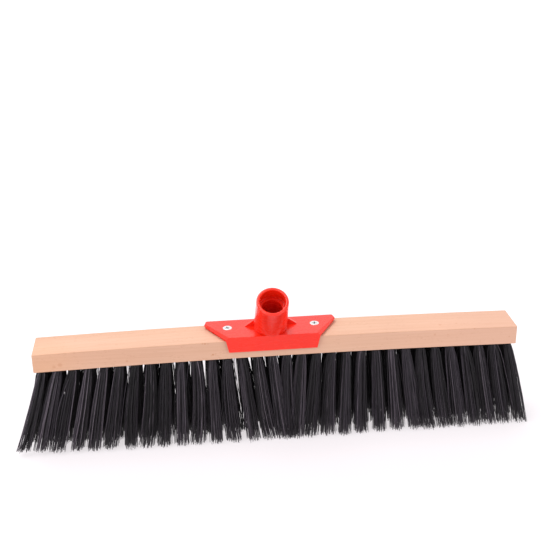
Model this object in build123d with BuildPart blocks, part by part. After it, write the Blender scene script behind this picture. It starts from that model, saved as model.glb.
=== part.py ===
from build123d import *
import math
import os

# Push broom head: a bowed hardwood block, four rows of stapled bristle tufts
# and a moulded handle socket held by two countersunk screws.
#
# Frame: +X runs along the block, -Y is the side the handle leans towards,
# +Z is up. The origin is on the floor under the middle of the whole head.
# Lengths are in millimetres, angles in degrees.

# ---------------------------------------------------------------- block
block_length = 500.0
block_depth = 40.0
block_height = 20.4
block_crown = 2.8           # the middle is bowed up by this much
block_edge_radius = 0.9     # eased edges
trim_height = 91.6          # underside of the block's ends above the floor

# ---------------------------------------------------------------- tufts
tufts_per_row = 32
tuft_pitch = 15.6
row_offsets = (-15.0, -5.0, 5.0, 15.0)      # row centre lines, from mid depth
row_splay = (-4.5, -1.5, 1.5, 4.5)          # lean of each row towards front or back
fan_outer = 13.2            # lean of the tuft at the block's end, outwards
fan_inner = 6.4             # lean of the tuft next to the middle pair, inwards
fan_middle = 2.2            # lean of the middle pair, inwards
hole_radius = 3.5
hole_depth = 12.0           # to the end of the full diameter's drill point
drill_point = 1.6
fold_radius = 3.4           # folded end of a tuft, inside its hole
fold_height = 9.8
tuft_root_radius = 3.2      # free length, under the block
tuft_tip_radius = 4.0
tuft_gap = 2.0              # free length starts this far below the block
tuft_stock = 101.0          # cut length before trimming flush with the floor
tufts_per_group = 8

# ---------------------------------------------------------------- anchors
anchor_length = 8.0         # bites 0.5 into the wood at each side of the hole
anchor_width = 2.2
anchor_thickness = 0.5
anchor_depth = 7.6          # middle of the wire above the block's underside

# ---------------------------------------------------------------- bracket
bracket_x = -7.0            # the bracket sits a little left of the middle
plate_thickness = 5.3
rim_height = 2.4            # the plate's edge; under it the plate stands on a smaller foot
foot_inset = 1.5            # how far the foot stands back at the ends and slanted sides
plate_back = 18.0           # back edge of the plate's top, from mid depth
plate_back_half = 66.6
plate_side = 10.6           # where the short end meets the slanted side
plate_side_half = 68.3
plate_front = -23.6
plate_front_half = 45.1
rim_back = 18.8             # the same corners at the rim's foot
rim_back_half = 67.4
rim_side = 12.0
rim_side_half = 69.2
rim_front_half = 48.6
skirt_thickness = 3.5
skirt_drop = 11.5           # below the block's top
skirt_bottom_half = 45.4
socket_x = -8.2             # the tube stands 1.2 left of the plate's middle
socket_elevation = 55.0     # axis above the horizontal, leaning forwards
socket_mouth_y = -34.1      # mouth centre, from mid depth
socket_mouth_z = 163.3      # mouth centre above the floor
socket_mouth_radius = 16.2
socket_base_radius = 17.3
socket_bore_radius = 13.0
socket_bore_depth = 17.0
socket_seat_radius = 11.0
socket_seat_depth = 46.0    # from the mouth to the blind end
socket_stock = 78.0
rim_outer_radius = 1.5
rim_inner_radius = 1.1
gusset_front = 0.2
gusset_thickness = 3.0
gusset_tip = 26.8
gusset_root = 14.0
gusset_rise = 9.4

# ---------------------------------------------------------------- screws
screw_half_spacing = 45.3
screw_head_radius = 4.85
screw_hole_radius = 2.6
screw_shank_radius = 2.4
screw_core_radius = 1.75
screw_length = 16.0
screw_point = 4.5
screw_pitch = 2.0
recess_half = 2.6
recess_width = 1.05
recess_depth = 2.3
pilot_radius = 1.9
pilot_depth = 12.0

# ---------------------------------------------------------------- derived
half_length = block_length / 2
bow_radius = (half_length**2 + block_crown**2) / (2 * block_crown)
top_of_block = trim_height + block_crown + block_height

sin_e = math.sin(math.radians(socket_elevation))
cos_e = math.cos(math.radians(socket_elevation))


def tan_deg(angle):
    return math.tan(math.radians(angle))


def underside(x):
    """Height of the bowed underside at x."""
    return trim_height + block_crown - (bow_radius - math.sqrt(bow_radius**2 - x * x))


def fan_lean(column):
    """Sideways lean of a column of tufts: outwards at the ends, inwards at the middle."""
    half = tufts_per_row // 2
    step = column if column < half else tufts_per_row - 1 - column
    if step == half - 1:
        lean = fan_middle
    else:
        lean = -fan_outer + (fan_outer + fan_inner) * step / (half - 2)
    return lean if column < half else -lean


# the whole head's middle in Y lies between the socket's rim and the back row's tips
rim_front = (
    socket_mouth_y
    - (socket_mouth_radius - rim_outer_radius) * sin_e
    - rim_outer_radius * (1 - cos_e)
)
floor_radius = tuft_root_radius + (tuft_tip_radius - tuft_root_radius) * trim_height / (tuft_stock - tuft_gap)
tips_back = row_offsets[3] + (trim_height + block_crown) * tan_deg(row_splay[3]) + floor_radius
y0 = -(rim_front + tips_back) / 2


def tuft_plane(column, row, shift=0.0):
    """Plane on the block's underside, its Z along the drilled hole, pointing into the wood."""
    x = (column - (tufts_per_row - 1) / 2) * tuft_pitch
    up = Vector(-tan_deg(fan_lean(column)), -tan_deg(row_splay[row]), 1).normalized()
    foot = Vector(x, y0 + row_offsets[row], underside(x))
    side = Vector(1, 0, 0) - up * up.dot(Vector(1, 0, 0))
    return Plane(origin=foot + up * shift, x_dir=side.normalized(), z_dir=up)


def offset_corner(p, q, r, before, after):
    """Corner q of the path p-q-r, after moving its two sides outwards by before and after."""

    def moved(a, b, distance):
        length = math.hypot(b[0] - a[0], b[1] - a[1])
        nx, ny = (b[1] - a[1]) / length, -(b[0] - a[0]) / length
        return (a[0] + nx * distance, a[1] + ny * distance), (b[0] - a[0], b[1] - a[1])

    (ax, ay), (ux, uy) = moved(p, q, before)
    (bx, by), (vx, vy) = moved(q, r, after)
    t = ((bx - ax) * vy - (by - ay) * vx) / (ux * vy - uy * vx)
    return (ax + ux * t, ay + uy * t)


os.makedirs("parts", exist_ok=True)

# ================================================================ wood block
with BuildPart() as drill:
    # one drilled hole with its conical point, started just below the surface
    with BuildSketch(Plane.XZ):
        with BuildLine():
            Polyline(
                (0, -3),
                (hole_radius, -3),
                (hole_radius, hole_depth - drill_point),
                (0, hole_depth),
                close=True,
            )
        make_face()
    revolve(axis=Axis.Z)

with BuildPart() as wood_block:
    with BuildSketch(Plane.XZ.offset(-(y0 + block_depth / 2))):
        with BuildLine():
            low = trim_height
            high = trim_height + block_height
            ThreePointArc((-half_length, low), (0, low + block_crown), (half_length, low))
            Line((half_length, low), (half_length, high))
            ThreePointArc((half_length, high), (0, high + block_crown), (-half_length, high))
            Line((-half_length, high), (-half_length, low))
        make_face()
    extrude(amount=block_depth)
    fillet(wood_block.edges(), radius=block_edge_radius)
    with Locations(
        *[tuft_plane(c, r) for r in range(len(row_offsets)) for c in range(tufts_per_row)]
    ):
        add(drill.part, mode=Mode.SUBTRACT)
    with Locations(
        *[
            Plane.XY.offset(top_of_block + 1).shift_origin((bracket_x + s * screw_half_spacing, y0, top_of_block + 1))
            for s in (-1, 1)
        ]
    ):
        Cylinder(
            pilot_radius,
            pilot_depth + 1,
            align=(Align.CENTER, Align.CENTER, Align.MAX),
            mode=Mode.SUBTRACT,
        )
wood_block.part.label = "wood_block"
export_step(wood_block.part, "parts/wood_block.step")

# ================================================================ socket bracket
path = [
    (-plate_front_half, plate_front),
    (plate_front_half, plate_front),
    (plate_side_half, plate_side),
    (plate_back_half, plate_back),
    (-plate_back_half, plate_back),
    (-plate_side_half, plate_side),
]
rim_path = [
    (-rim_front_half, plate_front),
    (rim_front_half, plate_front),
    (rim_side_half, rim_side),
    (rim_back_half, rim_back),
    (-rim_back_half, rim_back),
    (-rim_side_half, rim_side),
]
insets = [0.0, -foot_inset, -foot_inset, 0.0, -foot_inset, -foot_inset]
foot_path = [
    offset_corner(rim_path[i - 1], rim_path[i], rim_path[(i + 1) % 6], insets[i - 1], insets[i])
    for i in range(6)
]
rim_low = plate_thickness - rim_height

mouth = Vector(socket_x, y0 + socket_mouth_y, socket_mouth_z)
axis_up = Vector(0, -cos_e, sin_e)
mouth_plane = Plane(origin=mouth, x_dir=(1, 0, 0), z_dir=axis_up)
plate_plane = Plane(origin=(bracket_x, y0, top_of_block), x_dir=(1, 0, 0), z_dir=(0, 0, 1))

with BuildPart() as socket_bracket:
    # plate with a tapered rim
    with BuildSketch(plate_plane.offset(rim_low)):
        with BuildLine():
            Polyline(*rim_path, close=True)
        make_face()
    with BuildSketch(plate_plane.offset(plate_thickness)):
        with BuildLine():
            Polyline(*path, close=True)
        make_face()
    loft(ruled=True)
    corners = (
        socket_bracket.edges()
        .filter_by(lambda e: abs((e @ 1 - e @ 0).Z) > rim_height * 0.9)
        .filter_by(lambda e: e.center().Y > y0 + plate_front + 3)
    )
    fillet(corners, radius=2.0)
    # its foot on the block, set back from the rim
    with BuildSketch(plate_plane):
        with BuildLine():
            Polyline(*foot_path, close=True)
        make_face()
    extrude(amount=rim_low)
    # skirt over the block's front face
    with BuildSketch(Plane(origin=(bracket_x, y0 + plate_front, top_of_block), x_dir=(1, 0, 0), z_dir=(0, -1, 0))):
        with BuildLine():
            Polyline(
                (-rim_front_half, rim_low),
                (-skirt_bottom_half, -skirt_drop),
                (skirt_bottom_half, -skirt_drop),
                (rim_front_half, rim_low),
                close=True,
            )
        make_face()
    extrude(amount=-skirt_thickness)
    # leaning tube, its foot buried in the plate
    with BuildSketch(mouth_plane):
        Circle(socket_mouth_radius)
    with BuildSketch(mouth_plane.offset(-socket_stock)):
        Circle(
            socket_mouth_radius
            + (socket_base_radius - socket_mouth_radius) * socket_stock / 54.0
        )
    loft(ruled=True, mode=Mode.ADD)
    # side gussets
    with BuildSketch(Plane(origin=(bracket_x, y0 + gusset_front, top_of_block + plate_thickness), x_dir=(1, 0, 0), z_dir=(0, -1, 0))):
        with BuildLine():
            Polyline(
                (-gusset_tip, -1),
                (-gusset_tip, 0.5),
                (-gusset_root, gusset_rise),
                (gusset_root, gusset_rise),
                (gusset_tip, 0.5),
                (gusset_tip, -1),
                close=True,
            )
        make_face()
    extrude(amount=-gusset_thickness)
    # trim what the tube leaves under the plate and behind the skirt
    with BuildSketch(plate_plane):
        with Locations((0, (block_depth / 2 + 60 - skirt_thickness + plate_front) / 2 + skirt_thickness / 2)):
            Rectangle(220, block_depth / 2 + 60 - plate_front - skirt_thickness)
    extrude(amount=-90, mode=Mode.SUBTRACT)
    # round the mouth's outer edge, the plate's rim and the skirt's outline
    rim = socket_bracket.edges().filter_by(GeomType.CIRCLE).sort_by(Axis.Z)[-1]
    fillet(rim, radius=rim_outer_radius)
    top_rim = (
        socket_bracket.edges()
        .filter_by(lambda e: abs((e @ 0).Z - top_of_block - plate_thickness) < 0.01)
        .filter_by(lambda e: abs((e @ 1).Z - top_of_block - plate_thickness) < 0.01)
        .filter_by(lambda e: abs(e.center().X - bracket_x) > 27 or e.length > 100)
    )
    fillet(top_rim, radius=1.2)
    # stepped bore
    with BuildSketch(mouth_plane):
        Circle(socket_seat_radius)
    extrude(amount=-socket_seat_depth, mode=Mode.SUBTRACT)
    with BuildSketch(mouth_plane):
        Circle(socket_bore_radius)
    extrude(amount=-socket_bore_depth, mode=Mode.SUBTRACT)
    inner_rim = (
        socket_bracket.edges()
        .filter_by(GeomType.CIRCLE)
        .filter_by(lambda e: abs(e.radius - socket_bore_radius) < 0.01)
        .sort_by(Axis.Z)[-1]
    )
    fillet(inner_rim, radius=rim_inner_radius)
    # countersunk screw holes
    with Locations(
        *[
            plate_plane.offset(plate_thickness).shift_origin(
                (bracket_x + s * screw_half_spacing, y0, top_of_block + plate_thickness)
            )
            for s in (-1, 1)
        ]
    ):
        CounterSinkHole(
            radius=screw_hole_radius,
            counter_sink_radius=screw_head_radius + 0.35,
            depth=plate_thickness + 1,
            counter_sink_angle=90,
        )
socket_bracket.part.label = "socket_bracket"
export_step(socket_bracket.part, "parts/socket_bracket.step")

# ================================================================ bracket screws
with BuildPart() as one_screw:
    # countersunk wood screw standing on its point, head flush at z = 0
    profile = [(0, 0), (screw_head_radius - 0.25, 0), (screw_head_radius, -0.25)]
    neck = -0.25 - (screw_head_radius - screw_shank_radius)
    profile += [(screw_shank_radius, neck), (screw_shank_radius, -plate_thickness)]
    z = -plate_thickness - 0.4
    end = -(screw_length - screw_point)
    profile.append((screw_core_radius, z))
    while z - screw_pitch >= end:
        profile += [
            (screw_core_radius, z - 0.9),
            (screw_shank_radius, z - 1.3),
            (screw_shank_radius, z - 1.5),
            (screw_core_radius, z - screw_pitch),
        ]
        z -= screw_pitch
    profile += [(screw_core_radius, end), (0, -screw_length)]
    with BuildSketch(Plane.XZ):
        with BuildLine():
            Polyline(*profile, close=True)
        make_face()
    revolve(axis=Axis.Z)
    # cross recess
    with BuildSketch(Plane.XY):
        Rectangle(2 * recess_half, recess_width)
        Rectangle(recess_width, 2 * recess_half)
    extrude(amount=-recess_depth, taper=9, mode=Mode.SUBTRACT)

with BuildPart() as bracket_screws:
    with Locations(
        Location((bracket_x - screw_half_spacing, y0, top_of_block + plate_thickness), (0, 0, 28)),
        Location((bracket_x + screw_half_spacing, y0, top_of_block + plate_thickness), (0, 0, -12)),
    ):
        add(one_screw.part)
bracket_screws.part.label = "bracket_screws"
export_step(bracket_screws.part, "parts/bracket_screws.step")

# ================================================================ folded tuft ends
with BuildPart() as one_fold:
    # a bundle doubled over its anchor wire, with the slot the wire lies in
    Cylinder(fold_radius, fold_height, align=(Align.CENTER, Align.CENTER, Align.MIN))
    fillet(one_fold.edges().sort_by(Axis.Z)[-1], radius=1.2)
    with Locations((0, 0, anchor_depth)):
        Box(
            2 * fold_radius + 2,
            anchor_thickness + 0.1,
            anchor_width + 0.1,
            mode=Mode.SUBTRACT,
        )

with BuildPart() as tuft_folds_row_1:
    with Locations(*[tuft_plane(c, 0, 0.6) for c in range(tufts_per_row)]):
        add(one_fold.part)
tuft_folds_row_1.part.label = "tuft_folds_row_1"
export_step(tuft_folds_row_1.part, "parts/tuft_folds_row_1.step")

with BuildPart() as tuft_folds_row_2:
    with Locations(*[tuft_plane(c, 1, 0.6) for c in range(tufts_per_row)]):
        add(one_fold.part)
tuft_folds_row_2.part.label = "tuft_folds_row_2"
export_step(tuft_folds_row_2.part, "parts/tuft_folds_row_2.step")

with BuildPart() as tuft_folds_row_3:
    with Locations(*[tuft_plane(c, 2, 0.6) for c in range(tufts_per_row)]):
        add(one_fold.part)
tuft_folds_row_3.part.label = "tuft_folds_row_3"
export_step(tuft_folds_row_3.part, "parts/tuft_folds_row_3.step")

with BuildPart() as tuft_folds_row_4:
    with Locations(*[tuft_plane(c, 3, 0.6) for c in range(tufts_per_row)]):
        add(one_fold.part)
tuft_folds_row_4.part.label = "tuft_folds_row_4"
export_step(tuft_folds_row_4.part, "parts/tuft_folds_row_4.step")

# ================================================================ anchor wires
with BuildPart() as one_anchor:
    # flat wire across the hole, its two ends pressed into the wood
    with Locations((0, 0, anchor_depth)):
        Box(anchor_length, anchor_thickness, anchor_width)

with BuildPart() as anchor_wires_row_1:
    with Locations(*[tuft_plane(c, 0, 0.6) for c in range(tufts_per_row)]):
        add(one_anchor.part)
anchor_wires_row_1.part.label = "anchor_wires_row_1"
export_step(anchor_wires_row_1.part, "parts/anchor_wires_row_1.step")

with BuildPart() as anchor_wires_row_2:
    with Locations(*[tuft_plane(c, 1, 0.6) for c in range(tufts_per_row)]):
        add(one_anchor.part)
anchor_wires_row_2.part.label = "anchor_wires_row_2"
export_step(anchor_wires_row_2.part, "parts/anchor_wires_row_2.step")

with BuildPart() as anchor_wires_row_3:
    with Locations(*[tuft_plane(c, 2, 0.6) for c in range(tufts_per_row)]):
        add(one_anchor.part)
anchor_wires_row_3.part.label = "anchor_wires_row_3"
export_step(anchor_wires_row_3.part, "parts/anchor_wires_row_3.step")

with BuildPart() as anchor_wires_row_4:
    with Locations(*[tuft_plane(c, 3, 0.6) for c in range(tufts_per_row)]):
        add(one_anchor.part)
anchor_wires_row_4.part.label = "anchor_wires_row_4"
export_step(anchor_wires_row_4.part, "parts/anchor_wires_row_4.step")

# ================================================================ free tufts
# Each tuft widens from its hole to its trimmed tip. Four groups of eight tufts
# to a row, a to d from left to right, all trimmed in one plane on the floor.
for row in range(len(row_offsets)):
    for group, letter in enumerate("abcd"):
        columns = range(group * tufts_per_group, (group + 1) * tufts_per_group)
        with BuildPart() as tufts:
            with Locations(*[tuft_plane(c, row, -tuft_gap) for c in columns]):
                Cone(
                    bottom_radius=tuft_tip_radius,
                    top_radius=tuft_root_radius,
                    height=tuft_stock - tuft_gap,
                    align=(Align.CENTER, Align.CENTER, Align.MAX),
                )
            split(bisect_by=Plane.XY, keep=Keep.TOP)
        tufts.part.label = f"tufts_row_{row + 1}{letter}"
        export_step(tufts.part, f"parts/tufts_row_{row + 1}{letter}.step")

print("y0", round(y0, 4), "top of block", top_of_block, "mouth", tuple(round(v, 3) for v in mouth))
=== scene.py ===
import math

import bpy
import numpy as np
from mathutils import Matrix, Vector


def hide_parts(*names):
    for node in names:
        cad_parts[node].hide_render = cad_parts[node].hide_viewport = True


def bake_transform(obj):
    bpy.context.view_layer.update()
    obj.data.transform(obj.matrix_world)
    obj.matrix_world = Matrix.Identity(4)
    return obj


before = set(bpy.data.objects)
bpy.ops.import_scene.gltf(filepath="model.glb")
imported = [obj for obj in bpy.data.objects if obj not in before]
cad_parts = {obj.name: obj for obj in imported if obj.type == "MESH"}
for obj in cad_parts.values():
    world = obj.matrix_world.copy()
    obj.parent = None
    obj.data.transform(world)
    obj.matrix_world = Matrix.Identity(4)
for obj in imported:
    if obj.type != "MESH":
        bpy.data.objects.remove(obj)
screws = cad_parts["bracket_screws"]
SCREW_TOP = max((screws.matrix_world @ Vector(corner)).z for corner in screws.bound_box)
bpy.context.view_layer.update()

# ---------------------------------------------------------------- figures shared with the CAD, in metres

Y0 = 0.0102058  # middle of the block's depth
BLOCK_LENGTH, CROWN, TRIM_HEIGHT = 0.500, 0.0028, 0.0916
ARC = (BLOCK_LENGTH**2 / 4 + CROWN**2) / (2 * CROWN)
PITCH, COLUMNS = 0.0156, 32
ROW_OFFSETS = (-0.015, -0.005, 0.005, 0.015)
ROW_SPLAY = (-6.6, -1.8, 1.5, 4.5)  # the loose filaments of the front row spread further than the solid tufts


def underside(x):
    return TRIM_HEIGHT + CROWN - (ARC - math.sqrt(ARC * ARC - x * x))


# How far each tuft of the front row leans along the block, in degrees, from the left end to the right
FRONT_LEAN = (
    -17.6, -15.2, -14.2, -12.0, -10.8, -10.2, -6.4, -5.7, -4.1, -1.8, -1.7, 1.0, 3.1, 5.9, 6.9, 6.3,
    0.9, -4.5, -5.5, -3.2, -2.2, -0.5, 2.5, 4.9, 7.4, 6.6, 8.0, 7.9, 9.2, 9.8, 9.9, 11.2,
)
# How much shorter than the rest the tufts at the left end are
LEFT_SHORT = (0.0052, 0.0036, 0.0016, 0.0012, 0.0010, 0.0008)

# ---------------------------------------------------------------- node helpers


def new_material(name):
    material = bpy.data.materials.new(name)
    material.use_nodes = True
    nodes = material.node_tree.nodes
    return material, nodes, material.node_tree.links, nodes["Principled BSDF"]


def object_coords(nodes, links, scale=(1, 1, 1), rotate=(0, 0, 0), shift=(0, 0, 0)):
    coords = nodes.new("ShaderNodeTexCoord")
    mapping = nodes.new("ShaderNodeMapping")
    mapping.inputs["Location"].default_value = shift
    mapping.inputs["Rotation"].default_value = rotate
    mapping.inputs["Scale"].default_value = scale
    links.new(coords.outputs["Object"], mapping.inputs["Vector"])
    return mapping.outputs["Vector"]


def noise(nodes, links, vector, scale, detail=2.0, rough=0.5, distortion=0.0):
    texture = nodes.new("ShaderNodeTexNoise")
    texture.inputs["Scale"].default_value = scale
    texture.inputs["Detail"].default_value = detail
    texture.inputs["Roughness"].default_value = rough
    texture.inputs["Distortion"].default_value = distortion
    links.new(vector, texture.inputs["Vector"])
    return texture.outputs["Fac"]


def ramp(nodes, links, value, stops, interpolation="LINEAR"):
    node = nodes.new("ShaderNodeValToRGB")
    node.color_ramp.interpolation = interpolation
    elements = node.color_ramp.elements
    while len(elements) < len(stops):
        elements.new(0.5)
    for element, (place, colour) in zip(elements, stops):
        element.position = place
        if not hasattr(colour, "__len__"):
            colour = (colour, colour, colour)
        element.color = (*colour, 1)
    links.new(value, node.inputs["Fac"])
    return node.outputs["Color"]


def mix(nodes, links, factor, a, b, blend="MIX"):
    node = nodes.new("ShaderNodeMix")
    node.data_type = "RGBA"
    node.blend_type = blend
    for socket, value in ((0, factor), (6, a), (7, b)):
        if isinstance(value, bpy.types.NodeSocket):
            links.new(value, node.inputs[socket])
        elif hasattr(value, "__len__"):
            node.inputs[socket].default_value = (*value, 1)
        else:
            node.inputs[socket].default_value = value
    return node.outputs[2]


def maths(nodes, links, operation, a, b=None, clamp=False):
    node = nodes.new("ShaderNodeMath")
    node.operation = operation
    node.use_clamp = clamp
    for socket, value in ((0, a), (1, b)):
        if value is None:
            continue
        if isinstance(value, bpy.types.NodeSocket):
            links.new(value, node.inputs[socket])
        else:
            node.inputs[socket].default_value = value
    return node.outputs[0]


def bump(nodes, links, height, strength, distance, normal=None):
    node = nodes.new("ShaderNodeBump")
    node.inputs["Strength"].default_value = strength
    node.inputs["Distance"].default_value = distance
    links.new(height, node.inputs["Height"])
    if normal is not None:
        links.new(normal, node.inputs["Normal"])
    return node.outputs["Normal"]


# ---------------------------------------------------------------- beech


def beech():
    material, nodes, links, shader = new_material("beech")
    # growth rings about a pith that lies well below and behind the block, and wanders along it
    warp = noise(nodes, links, object_coords(nodes, links, (2.2, 14, 14)), 1.0, 2.0)
    coords = nodes.new("ShaderNodeTexCoord")
    parts = nodes.new("ShaderNodeSeparateXYZ")
    links.new(coords.outputs["Object"], parts.inputs["Vector"])
    sway = maths(nodes, links, "MULTIPLY", maths(nodes, links, "SUBTRACT", warp, 0.5), 0.020)
    across = maths(nodes, links, "ADD", maths(nodes, links, "SUBTRACT", parts.outputs["Y"], 0.072), sway)
    upright = maths(nodes, links, "ADD", parts.outputs["Z"], 0.012)
    squared = maths(
        nodes, links, "ADD",
        maths(nodes, links, "MULTIPLY", across, across),
        maths(nodes, links, "MULTIPLY", upright, upright),
    )
    radius = maths(nodes, links, "SQRT", squared)
    phase = maths(nodes, links, "FRACT", maths(nodes, links, "MULTIPLY", radius, 310.0))
    rings = ramp(nodes, links, phase, [(0.0, 0.32), (0.62, 0.50), (0.88, 0.86), (0.97, 0.90), (1.0, 0.32)])
    # long fibres, the short dark flecks of the rays, and slow changes of tone
    fibres = noise(nodes, links, object_coords(nodes, links, (9, 620, 620)), 1.0, 3.0, 0.62)
    broad = noise(nodes, links, object_coords(nodes, links, (3.2, 46, 46), shift=(0.7, 0, 0)), 1.0, 3.0, 0.55)
    cloud = noise(nodes, links, object_coords(nodes, links, (7, 13, 13), shift=(3.1, 1.2, 0.4)), 1.0, 2.0)
    fleck_cells = nodes.new("ShaderNodeTexVoronoi")
    fleck_cells.inputs["Scale"].default_value = 1.0
    fleck_cells.inputs["Randomness"].default_value = 1.0
    links.new(object_coords(nodes, links, (230, 900, 900)), fleck_cells.inputs["Vector"])
    fleck_field = noise(nodes, links, object_coords(nodes, links, (60, 160, 160), shift=(1.9, 0.3, 0.8)), 1.0, 2.0)
    flecks = ramp(nodes, links, fleck_cells.outputs["Distance"], [(0.0, 1.0), (0.20, 0.85), (0.34, 0.0), (1.0, 0.0)])
    fleck_gate = ramp(nodes, links, fleck_field, [(0.0, 0.0), (0.50, 0.0), (0.62, 1.0), (1.0, 1.0)])
    flecks = maths(nodes, links, "MULTIPLY", flecks, fleck_gate)

    pale, warm, deep = (0.670, 0.415, 0.298), (0.615, 0.352, 0.240), (0.480, 0.250, 0.152)
    colour = mix(nodes, links, ramp(nodes, links, broad, [(0.28, 0.0), (0.72, 1.0)]), pale, warm)
    colour = mix(nodes, links, maths(nodes, links, "MULTIPLY", rings, 0.27), colour, deep)
    colour = mix(
        nodes, links,
        maths(nodes, links, "MULTIPLY", ramp(nodes, links, fibres, [(0.40, 0.0), (0.72, 1.0)]), 0.20),
        colour, deep,
    )
    colour = mix(nodes, links, maths(nodes, links, "MULTIPLY", flecks, 0.40), colour, (0.36, 0.155, 0.08))
    tone = ramp(nodes, links, cloud, [(0.25, 0.93), (0.75, 1.05)])
    colour = mix(nodes, links, 1.0, colour, tone, "MULTIPLY")
    # sapwood towards the right end is pinker, and the lower left corner has an orange cast
    right_end = ramp(nodes, links, maths(nodes, links, "MULTIPLY", parts.outputs["X"], 4.0), [(0.0, 0.0), (0.25, 0.0), (1.0, 1.0)])
    colour = mix(nodes, links, maths(nodes, links, "MULTIPLY", right_end, 0.55), colour, (0.585, 0.335, 0.245))
    corner = nodes.new("ShaderNodeVectorMath")
    corner.operation = "DISTANCE"
    links.new(coords.outputs["Object"], corner.inputs[0])
    corner.inputs[1].default_value = (-0.240, -0.010, 0.094)
    cast = ramp(nodes, links, maths(nodes, links, "MULTIPLY", corner.outputs["Value"], 22.0), [(0.0, 0.34), (0.35, 0.22), (1.0, 0.0)])
    colour = mix(nodes, links, cast, colour, (0.640, 0.330, 0.170))
    # a thin darker band runs along the planed front just below its top arris
    arris = maths(nodes, links, "ADD", parts.outputs["Z"], maths(nodes, links, "MULTIPLY", maths(nodes, links, "MULTIPLY", parts.outputs["X"], parts.outputs["X"]), 0.0448))
    along_arris = noise(nodes, links, object_coords(nodes, links, (34, 1, 1), shift=(2.0, 0, 0)), 1.0, 2.0)
    band = ramp(
        nodes, links,
        maths(nodes, links, "MULTIPLY", maths(nodes, links, "SUBTRACT", arris, 0.1120), 333.0),
        [(0.0, 0.0), (0.45, 0.0), (0.72, 1.0), (0.88, 1.0), (1.0, 0.0)],
    )
    band = maths(nodes, links, "MULTIPLY", band, ramp(nodes, links, along_arris, [(0.30, 0.12), (0.70, 0.40)]))
    front_side = ramp(nodes, links, maths(nodes, links, "MULTIPLY", parts.outputs["Y"], -100.0), [(0.0, 0.0), (0.90, 0.0), (0.96, 1.0), (1.0, 1.0)])
    colour = mix(nodes, links, maths(nodes, links, "MULTIPLY", band, front_side), colour, (0.400, 0.205, 0.120))
    # a few small resin specks, each at its own place on the front and the top
    for place, size, dark in SPECKS:
        away = nodes.new("ShaderNodeVectorMath")
        away.operation = "DISTANCE"
        links.new(coords.outputs["Object"], away.inputs[0])
        away.inputs[1].default_value = place
        ragged = maths(
            nodes, links, "ADD", away.outputs["Value"],
            maths(nodes, links, "MULTIPLY", maths(nodes, links, "SUBTRACT", fibres, 0.5), size * 0.9),
        )
        near = maths(nodes, links, "DIVIDE", ragged, size)
        spot = ramp(nodes, links, near, [(0.0, dark), (0.45, dark * 0.8), (1.0, 0.0)], "EASE")
        colour = mix(nodes, links, spot, colour, (0.42, 0.150, 0.055))
    links.new(colour, shader.inputs["Base Color"])
    gloss = ramp(nodes, links, fibres, [(0.3, 0.50), (0.7, 0.64)])
    links.new(gloss, shader.inputs["Roughness"])
    shader.inputs["Specular IOR Level"].default_value = 0.42
    height = mix(nodes, links, 0.35, fibres, flecks)
    links.new(bump(nodes, links, height, 0.22, 0.00022), shader.inputs["Normal"])
    return material


SPECKS = (
    ((-0.0765, -0.0098, 0.1132), 0.0012, 0.80),
    ((-0.0790, -0.0098, 0.1135), 0.0010, 0.60),
    ((-0.0735, -0.0098, 0.1129), 0.0009, 0.60),
    ((-0.0688, -0.0098, 0.1003), 0.0014, 0.70),
    ((-0.0660, -0.0098, 0.1010), 0.0009, 0.50),
    ((-0.0705, -0.0098, 0.0992), 0.0008, 0.45),
    ((-0.2228, -0.0098, 0.0993), 0.0030, 0.30),
    ((-0.2290, -0.0098, 0.0975), 0.0022, 0.26),
    ((-0.1560, -0.0098, 0.0990), 0.0016, 0.34),
    ((0.1620, -0.0098, 0.1080), 0.0016, 0.30),
    ((0.1760, -0.0098, 0.1072), 0.0012, 0.26),
    ((0.2040, -0.0098, 0.1122), 0.0011, 0.36),
    ((0.2420, -0.0098, 0.1005), 0.0010, 0.40),
    ((0.1700, 0.0010, 0.1135), 0.0020, 0.30),
    ((0.1880, 0.0030, 0.1131), 0.0015, 0.28),
    ((-0.1810, 0.0301, 0.1020), 0.0016, 0.55),
    ((0.0930, 0.0301, 0.1080), 0.0014, 0.50),
)

# ---------------------------------------------------------------- moulded plastic


def red_plastic():
    material, nodes, links, shader = new_material("red_moulding")
    broad = noise(nodes, links, object_coords(nodes, links, (34, 34, 34)), 1.0, 2.0)
    colour = ramp(nodes, links, broad, [(0.30, (0.750, 0.0130, 0.0026)), (0.70, (0.800, 0.0185, 0.0042))])
    # the faint flow lines that spread from the gate, and scuffs from handling
    flow = noise(nodes, links, object_coords(nodes, links, (18, 95, 150), rotate=(0.6, 0, 0.2)), 1.0, 3.0, 0.6, 0.8)
    colour = mix(
        nodes, links,
        maths(nodes, links, "MULTIPLY", ramp(nodes, links, flow, [(0.45, 0.0), (0.75, 1.0)]), 0.14),
        colour, (0.66, 0.006, 0.003),
    )
    links.new(colour, shader.inputs["Base Color"])
    scuffs = noise(nodes, links, object_coords(nodes, links, (70, 210, 210), rotate=(0.1, 0.3, 0.5)), 1.0, 4.0, 0.65)
    links.new(ramp(nodes, links, scuffs, [(0.30, 0.20), (0.75, 0.34)]), shader.inputs["Roughness"])
    shader.inputs["IOR"].default_value = 1.36
    shader.inputs["Coat Weight"].default_value = 0.55
    shader.inputs["Coat IOR"].default_value = 1.36
    shader.inputs["Coat Roughness"].default_value = 0.22
    shader.inputs["Subsurface Weight"].default_value = 0.04
    shader.inputs["Subsurface Radius"].default_value = (1.0, 0.12, 0.08)
    shader.inputs["Subsurface Scale"].default_value = 0.0022
    skin = noise(nodes, links, object_coords(nodes, links, (900, 900, 900)), 1.0, 2.0)
    sink = noise(nodes, links, object_coords(nodes, links, (60, 60, 60)), 1.0, 1.0)
    first = bump(nodes, links, sink, 0.10, 0.0006)
    links.new(bump(nodes, links, skin, 0.06, 0.00006, first), shader.inputs["Normal"])
    return material


# ---------------------------------------------------------------- bristles


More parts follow.
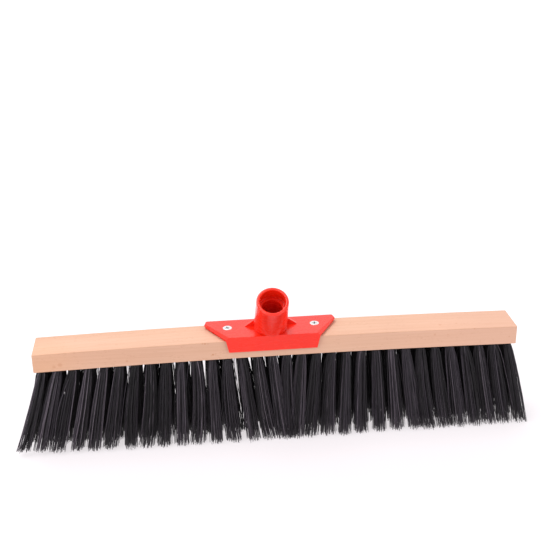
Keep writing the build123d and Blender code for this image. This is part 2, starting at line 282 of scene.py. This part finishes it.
def bristle():
    material, nodes, links, shader = new_material("bristle_filament")
    tone = nodes.new("ShaderNodeAttribute")
    tone.attribute_name = "tone"
    along = nodes.new("ShaderNodeAttribute")
    along.attribute_name = "along"
    colour = ramp(
        nodes, links, tone.outputs["Fac"],
        [(0.0, (0.0014, 0.0011, 0.0018)), (0.42, (0.0078, 0.0060, 0.0088)), (0.76, (0.0430, 0.0345, 0.0470)), (1.0, (0.150, 0.124, 0.152))],
    )
    # dust in the cut ends, and a slow mottle down each filament
    mottle = noise(nodes, links, object_coords(nodes, links, (420, 420, 90)), 1.0, 2.0)
    colour = mix(
        nodes, links,
        maths(nodes, links, "MULTIPLY", ramp(nodes, links, mottle, [(0.45, 0.0), (0.72, 1.0)]), 0.34),
        colour, (0.031, 0.025, 0.034),
    )
    tips = ramp(nodes, links, along.outputs["Fac"], [(0.0, 0.0), (0.86, 0.0), (0.985, 0.30), (1.0, 0.42)])
    colour = mix(nodes, links, tips, colour, (0.043, 0.035, 0.043))
    links.new(colour, shader.inputs["Base Color"])
    links.new(ramp(nodes, links, mottle, [(0.35, 0.36), (0.70, 0.52)]), shader.inputs["Roughness"])
    shader.inputs["Specular IOR Level"].default_value = 0.40
    ribs = noise(nodes, links, object_coords(nodes, links, (2600, 2600, 160)), 1.0, 1.0)
    links.new(bump(nodes, links, ribs, 0.25, 0.00008), shader.inputs["Normal"])
    return material


# ---------------------------------------------------------------- metals


def zinc_steel():
    material, nodes, links, shader = new_material("zinc_steel")
    shader.inputs["Metallic"].default_value = 1.0
    spangle = noise(nodes, links, object_coords(nodes, links, (520, 520, 520)), 1.0, 3.0, 0.6)
    tarnish = noise(nodes, links, object_coords(nodes, links, (150, 150, 150), shift=(0.4, 0.1, 0)), 1.0, 2.0)
    colour = ramp(nodes, links, spangle, [(0.30, (0.80, 0.80, 0.81)), (0.70, (0.93, 0.93, 0.94))])
    colour = mix(
        nodes, links,
        maths(nodes, links, "MULTIPLY", ramp(nodes, links, tarnish, [(0.52, 0.0), (0.74, 1.0)]), 0.30),
        colour, (0.62, 0.59, 0.54),
    )
    # painted shade: near black down in the cross recess and below the head's rim
    parts = nodes.new("ShaderNodeSeparateXYZ")
    coords = nodes.new("ShaderNodeTexCoord")
    links.new(coords.outputs["Object"], parts.inputs["Vector"])
    depth = maths(nodes, links, "MULTIPLY", maths(nodes, links, "SUBTRACT", SCREW_TOP, parts.outputs["Z"]), 600.0)
    recess_shade = ramp(nodes, links, depth, [(0.0, 0.0), (0.10, 0.0), (0.42, 0.95), (1.0, 0.97)])
    colour = mix(nodes, links, recess_shade, colour, (0.030, 0.030, 0.034))
    links.new(colour, shader.inputs["Base Color"])
    links.new(ramp(nodes, links, spangle, [(0.30, 0.30), (0.70, 0.46)]), shader.inputs["Roughness"])
    turned = noise(nodes, links, object_coords(nodes, links, (1500, 1500, 5200)), 1.0, 2.0)
    links.new(bump(nodes, links, turned, 0.18, 0.00006), shader.inputs["Normal"])
    return material


def anchor_steel():
    material, nodes, links, shader = new_material("anchor_wire_steel")
    shader.inputs["Metallic"].default_value = 1.0
    drawn = noise(nodes, links, object_coords(nodes, links, (300, 3600, 3600)), 1.0, 3.0, 0.6)
    links.new(ramp(nodes, links, drawn, [(0.30, (0.36, 0.35, 0.34)), (0.70, (0.56, 0.55, 0.54))]), shader.inputs["Base Color"])
    links.new(ramp(nodes, links, drawn, [(0.30, 0.24), (0.70, 0.46)]), shader.inputs["Roughness"])
    links.new(bump(nodes, links, drawn, 0.20, 0.00004), shader.inputs["Normal"])
    return material


WOOD, RED, BRISTLE, ZINC, WIRE = beech(), red_plastic(), bristle(), zinc_steel(), anchor_steel()


def give(node, material):
    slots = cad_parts[node].material_slots
    for s in slots:
        s.material = material


give("wood_block", WOOD)
give("socket_bracket", RED)
give("bracket_screws", ZINC)
for row in (1, 2, 3, 4):
    give(f"tuft_folds_row_{row}", BRISTLE)
    give(f"anchor_wires_row_{row}", WIRE)

# ---------------------------------------------------------------- bristles: every filament is its own tapered tube

FIBRES, RINGS, SIDES = 96, 8, 5
TUFTS_A_PIECE = 8


def tuft_paths(rng, row, column):
    """Centrelines of one tuft's filaments: (FIBRES, RINGS, 3), with how far along each ring is."""
    x = (column - 15.5) * PITCH
    y = Y0 + ROW_OFFSETS[row]
    root_z = underside(x) + 0.0006
    # the rows behind fan out less than the front one and stand less evenly
    lean = FRONT_LEAN[column] if row == 0 else 0.55 * FRONT_LEAN[column] + 2.2 + rng.normal(0, 1.5)
    lean = math.radians(lean)
    splay = math.radians(ROW_SPLAY[row] + rng.normal(0, 0.45))
    height = underside(x)
    centre = np.array([x + height * math.tan(lean), y + height * math.tan(splay), 0.0])
    # filaments packed in the hole's round, in sunflower order with some disorder
    i = np.arange(FIBRES)
    turn = i * 2.399963 + rng.normal(0, 0.25, FIBRES) + rng.uniform(0, 6.28)
    share = np.sqrt((i + 0.5) / FIBRES)
    share = np.clip(share + rng.normal(0, 0.03, FIBRES), 0.02, 1.0)
    disc = np.stack([np.cos(turn), np.sin(turn)], 1) * share[:, None]
    root_r = 0.00292
    tip_r = np.array([0.0080 if row == 0 else 0.0094, 0.0066 if row == 0 else 0.0056]) * rng.uniform(0.88, 1.12, 2)
    # at the tip a filament's place is its place in the hole, spread out and shaken up
    tip_disc = disc * tip_r + rng.normal(0, 1, (FIBRES, 2)) * np.array([0.00085, 0.00080])
    stray = rng.random(FIBRES) < 0.055
    tip_disc[stray] += rng.normal(0, 1, (int(stray.sum()), 2)) * np.array([0.0036, 0.0030])
    # the front and back of the brush stay inside their trimmed outline
    limit = 0.0088
    tip_disc[:, 1] = np.clip(tip_disc[:, 1], -limit, limit)
    short = 0.00030 + abs(rng.normal(0, 0.0005)) + (LEFT_SHORT[column] if column < len(LEFT_SHORT) else 0.0)
    cut = short + np.abs(rng.normal(0, 0.00060, FIBRES)) + 0.0010 * rng.random(FIBRES) ** 2
    ragged = rng.random(FIBRES) < 0.08
    cut[ragged] += rng.uniform(0.0012, 0.0042, int(ragged.sum()))
    cut[stray] += rng.uniform(0.0, 0.0070, int(stray.sum()))
    bow = rng.normal(0, 1, 2) * np.array([0.0009, 0.0006])
    own_bow = rng.normal(0, 1, (FIBRES, 2)) * np.array([0.00055, 0.00050])
    own_bow[stray] *= 3.0
    wave = rng.uniform(0, 6.28, (FIBRES, 2))
    wave_size = np.abs(rng.normal(0, 0.00016, (FIBRES, 1)))

    total = root_z
    end = (total - cut) / total  # the share of its path left after trimming
    s = np.concatenate([[0.0, 0.045, 0.13], np.linspace(0.27, 1.0, RINGS - 3)])
    t = s[None, :] * end[:, None]
    burst = 0.36 if row == 0 else 0.46
    swell = burst * (1 - np.exp(-t / 0.050)) + (1 - burst) * t**0.95
    axis = np.array([x, y, root_z])[None, None, :] * (1 - t[..., None]) + centre[None, None, :] * t[..., None]
    place = disc[:, None, :] * root_r * (1 - swell[..., None]) + tip_disc[:, None, :] * swell[..., None]
    curve = (4 * t * (1 - t))[..., None] * (bow[None, None, :] + own_bow[:, None, :])
    curve[..., :] *= np.clip(t / 0.10, 0, 1)[..., None]
    ripple = np.sin(t[..., None] * 17 + wave[:, None, :]) * wave_size[:, None, :] * np.clip(t / 0.2, 0, 1)[..., None]
    path = axis.copy()
    path[..., :2] += place + curve + ripple
    # filaments that lie together in the bundle catch the light together
    seeds = rng.normal(0, 0.62, (11, 2))
    clump = np.argmin(((disc[:, None, :] - seeds[None]) ** 2).sum(2), axis=1)
    return path, s[None, :] * np.ones((FIBRES, 1)), stray, rng.beta(0.9, 1.35, 11)[clump]


def filaments(name, row, first):
    """One piece: the filaments of eight neighbouring tufts in a row."""
    rng = np.random.default_rng(7919 * (row + 1) + first)
    paths, alongs, tones, radii = [], [], [], []
    for column in range(first, first + TUFTS_A_PIECE):
        path, along, stray, shared = tuft_paths(rng, row, column)
        tone = np.clip(0.56 * rng.beta(1.2, 1.7, FIBRES) + 0.56 * shared + rng.normal(0, 0.05), 0.0, 0.93)
        glint = rng.random(FIBRES) < 0.05
        tone[glint] = rng.uniform(0.93, 1.0, int(glint.sum()))
        # the two middle rows get half the tone, as painted shade for the front row's shadow over them
        tone *= 1.0 if row in (0, 3) else 0.50
        paths.append(path)
        alongs.append(along)
        tones.append(tone)
        radii.append(rng.uniform(0.00023, 0.00031, FIBRES))
    path, along = np.concatenate(paths), np.concatenate(alongs)
    tone, radius = np.concatenate(tones), np.concatenate(radii)
    n = len(path)
    tangent = np.gradient(path, axis=1)
    tangent /= np.linalg.norm(tangent, axis=2, keepdims=True)
    side = np.cross(tangent, np.array([0.0, 1.0, 0.0]))
    side /= np.linalg.norm(side, axis=2, keepdims=True)
    other = np.cross(tangent, side)
    taper = np.where(along > 0.9, 1.0 - (along - 0.9) * 2.2, 1.0)
    angle = (np.arange(SIDES) / SIDES * 2 * math.pi)[None, None, :] + rng.uniform(0, 6.28, n)[:, None, None]
    r = (radius[:, None] * taper)[..., None, None]
    points = (
        path[:, :, None, :]
        + r * np.cos(angle)[..., None] * side[:, :, None, :]
        + r * np.sin(angle)[..., None] * other[:, :, None, :]
    )
    verts = points.reshape(-1, 3)
    base = (np.arange(n) * RINGS * SIDES)[:, None, None]
    ring = (np.arange(RINGS - 1) * SIDES)[None, :, None]
    k = np.arange(SIDES)[None, None, :]
    k1 = (k + 1) % SIDES
    quads = np.stack([base + ring + k, base + ring + k1, base + ring + SIDES + k1, base + ring + SIDES + k], -1)
    quads = quads.reshape(-1, 4)
    start = (np.arange(n) * RINGS * SIDES)[:, None] + np.arange(SIDES)[None, ::-1]
    stop = (np.arange(n) * RINGS * SIDES + (RINGS - 1) * SIDES)[:, None] + np.arange(SIDES)[None, :]

    loops = np.concatenate([quads.ravel(), start.ravel(), stop.ravel()]).astype(np.int32)
    sizes = np.concatenate([np.full(len(quads), 4), np.full(2 * n, SIDES)]).astype(np.int32)
    starts = np.concatenate([[0], np.cumsum(sizes)[:-1]]).astype(np.int32)
    mesh = bpy.data.meshes.new(name)
    mesh.vertices.add(len(verts))
    mesh.vertices.foreach_set("co", verts.astype(np.float32).ravel())
    mesh.loops.add(len(loops))
    mesh.loops.foreach_set("vertex_index", loops)
    mesh.polygons.add(len(sizes))
    mesh.polygons.foreach_set("loop_start", starts)
    mesh.polygons.foreach_set("loop_total", sizes)
    mesh.polygons.foreach_set("use_smooth", np.ones(len(sizes), bool))
    mesh.update(calc_edges=True)

    # each filament has its own upright strip in the map
    columns = FIBRES
    cell = np.stack([np.arange(n) % columns, np.arange(n) // columns], 1)
    du, dv = 1.0 / columns, 1.0 / TUFTS_A_PIECE
    u = (cell[:, 0, None, None, None] + 0.08 + 0.84 * np.stack([k, k + 1, k + 1, k], -1) / SIDES) * du
    s0 = s1 = np.linspace(0, 1, RINGS)
    low, high = s0[:-1], s1[1:]
    v = np.stack([low, low, high, high], -1)[None, :, None, :]
    v = (cell[:, 1, None, None, None] + 0.03 + 0.94 * v) * dv
    u, v = np.broadcast_arrays(u, v)
    quad_uv = np.stack([u, v], -1).reshape(-1, 2)
    spin = np.arange(SIDES) / SIDES * 2 * math.pi
    cap = np.stack([0.5 + 0.3 * np.cos(spin), 0.012 + 0.008 * np.sin(spin)], 1)
    cap_low = (cell[:, None, :] + cap[None, ::-1, :]) * np.array([du, dv])
    cap_high = (cell[:, None, :] + np.array([0, 0.976]) + cap[None]) * np.array([du, dv])
    uv = mesh.uv_layers.new(name="OFBake")
    uv.data.foreach_set(
        "uv", np.concatenate([quad_uv, cap_low.reshape(-1, 2), cap_high.reshape(-1, 2)]).astype(np.float32).ravel()
    )
    spread = np.repeat(tone, RINGS * SIDES).astype(np.float32)
    mesh.attributes.new("tone", "FLOAT", "POINT").data.foreach_set("value", spread)
    reach = np.repeat(along.ravel(), SIDES).astype(np.float32)
    mesh.attributes.new("along", "FLOAT", "POINT").data.foreach_set("value", reach)
    mesh.materials.append(BRISTLE)
    mesh.validate()
    piece = bpy.data.objects.new(name, mesh)
    bpy.context.scene.collection.objects.link(piece)
    return piece


for row in range(4):
    for letter, first in zip("abcd", (0, 8, 16, 24)):
        piece = filaments(f"bristles_{row + 1}{letter}", row, first)
        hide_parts(f"tufts_row_{row + 1}{letter}")
        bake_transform(piece)

# ---------------------------------------------------------------- floor, light and camera

floor_mesh = bpy.data.meshes.new("floor")
floor_mesh.from_pydata([(-14, -14, -0.0001), (14, -14, -0.0001), (14, 14, -0.0001), (-14, 14, -0.0001)], [], [(0, 1, 2, 3)])
floor_mesh.update()
floor = bpy.data.objects.new("floor", floor_mesh)
bpy.context.scene.collection.objects.link(floor)
material, nodes, links, shader = new_material("studio_floor")
shader.inputs["Base Color"].default_value = (0.26, 0.245, 0.255, 1)
away = nodes.new("ShaderNodeVectorMath")
away.operation = "LENGTH"
spot = object_coords(nodes, links, (1, 1, 0))
links.new(spot, away.inputs[0])
glow = ramp(nodes, links, away.outputs["Value"], [(0.0, (0.68, 0.645, 0.662)), (0.24, (0.68, 0.648, 0.664)), (0.62, (1.0, 1.0, 1.0)), (1.0, (1.0, 1.0, 1.0))])
links.new(glow, shader.inputs["Emission Color"])
shader.inputs["Emission Strength"].default_value = 1.0
shader.inputs["Roughness"].default_value = 0.9
shader.inputs["Specular IOR Level"].default_value = 0.1
floor_mesh.materials.append(material)

world = bpy.data.worlds.new("studio")
world.use_nodes = True
world.node_tree.nodes["Background"].inputs["Color"].default_value = (1.0, 1.0, 1.0, 1)
world.node_tree.nodes["Background"].inputs["Strength"].default_value = 1.0
bpy.context.scene.world = world
bpy.context.scene.view_settings.view_transform = "Standard"


def softbox(name, place, target, size, watts):
    lamp = bpy.data.lights.new(name, "AREA")
    lamp.shape = "RECTANGLE"
    lamp.size, lamp.size_y = size
    lamp.energy = watts
    lit = bpy.data.objects.new(name, lamp)
    lit.location = place
    lit.rotation_euler = (Vector(target) - Vector(place)).to_track_quat("-Z", "Y").to_euler()
    bpy.context.scene.collection.objects.link(lit)


softbox("overhead", (-0.55, 0.10, 2.0), (-0.05, 0, 0.1), (1.5, 1.1), 26)
softbox("front_left", (-1.5, -1.5, 1.1), (0, 0, 0.06), (0.9, 0.9), 9)
softbox("front_right", (1.5, -1.6, 1.2), (0, 0, 0.06), (0.9, 0.9), 6)

yaw, pitch, roll = (math.radians(a) for a in (5.8289, 23.4346, -0.7608))
ahead = Vector((math.sin(yaw) * math.cos(pitch), math.cos(yaw) * math.cos(pitch), -math.sin(pitch)))
level = Vector((math.cos(yaw), -math.sin(yaw), 0))
above = level.cross(ahead)
right = math.cos(roll) * level + math.sin(roll) * above
up = -math.sin(roll) * level + math.cos(roll) * above
camera = bpy.data.cameras.new("camera")
camera.sensor_fit, camera.sensor_width = "HORIZONTAL", 36
camera.lens = 65.02
camera.clip_start, camera.clip_end = 0.01, 100
eye = bpy.data.objects.new("camera", camera)
turn = Matrix((right, up, -ahead)).transposed()
eye.matrix_world = Matrix.Translation((-0.09599, -0.90948, 0.57723)) @ turn.to_4x4()
bpy.context.scene.collection.objects.link(eye)
bpy.context.scene.camera = eye
